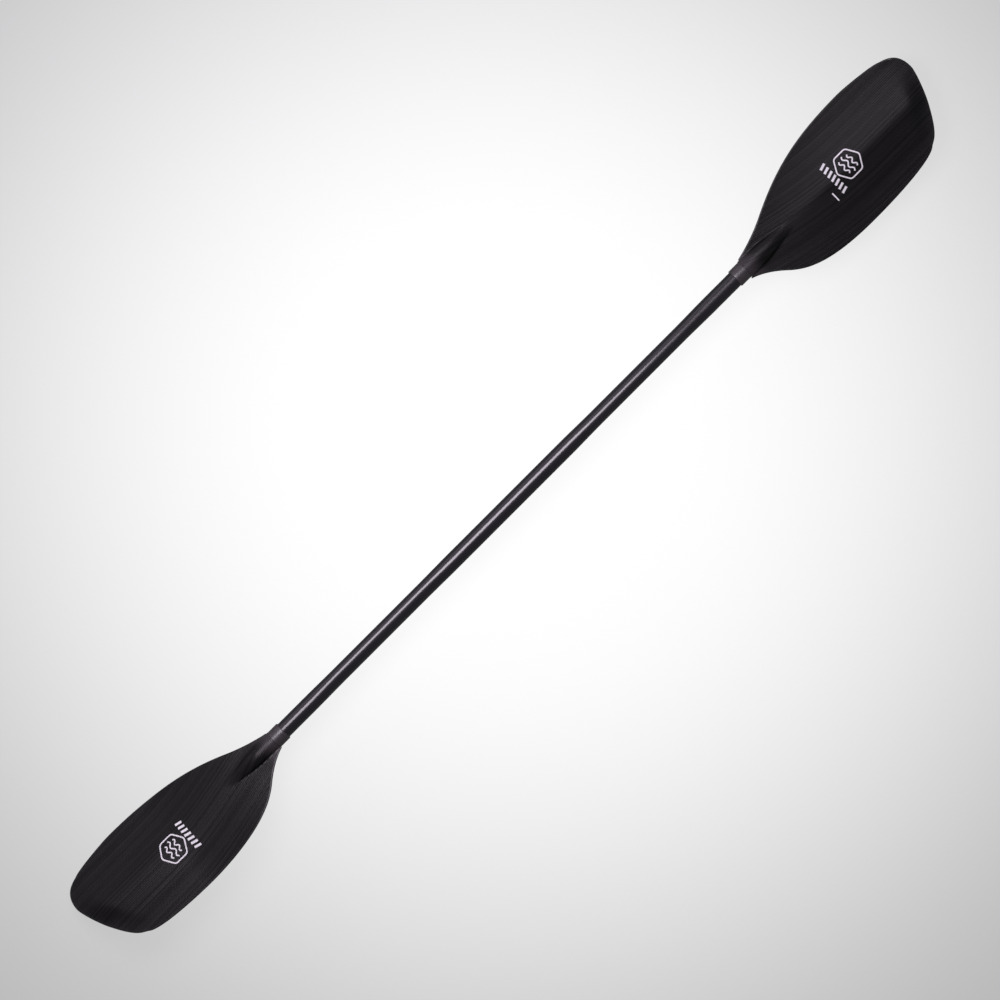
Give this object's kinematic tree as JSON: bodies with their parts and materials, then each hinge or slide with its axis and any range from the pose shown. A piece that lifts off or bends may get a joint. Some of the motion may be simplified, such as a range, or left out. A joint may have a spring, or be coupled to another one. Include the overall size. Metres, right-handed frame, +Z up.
{
  "type": "kayak paddle",
  "caption": "One-piece double-ended whitewater kayak paddle with a straight carbon shaft, oval hand zones and feathered asymmetric foam-core blades.",
  "frame": {"origin": "on the floor, midway between the two blade tips, under the shaft's axis, which runs 60.2 mm above the floor", "axes": "+X along the shaft towards the right blade; +Y towards the blades' longer edges; +Z up, out of the right blade's power face"},
  "size_m": [1.9696, 0.1924, 0.1019],
  "materials": {
    "shaft": "satin clear-coated wound carbon",
    "blade_face": "satin carbon laminate with fine lengthwise fibre lines",
    "edge": "resin-soaked cord, sanded smooth",
    "collar": "matte grey moulded",
    "foam": "closed-cell foam",
    "laminate": "solid fibre laminate",
    "epoxy": "cured adhesive"
  },
  "bodies": {
    "root": {"shaft_tube": "shaft", "right_power_skin": "blade_face", "right_back_skin": "blade_face", "right_edge_cord": "edge", "right_neck_collar": "collar", "right_core_upper": "foam", "right_core_lower": "foam", "right_spine_spar": "laminate", "right_tip_insert": "laminate", "right_glue_sleeve": "epoxy", "right_shaft_bung": "foam", "left_power_skin": "blade_face", "left_back_skin": "blade_face", "left_edge_cord": "edge", "left_neck_collar": "collar", "left_core_upper": "foam", "left_core_lower": "foam", "left_spine_spar": "laminate", "left_tip_insert": "laminate", "left_glue_sleeve": "epoxy", "left_shaft_bung": "foam"}
  },
  "joints": []
}
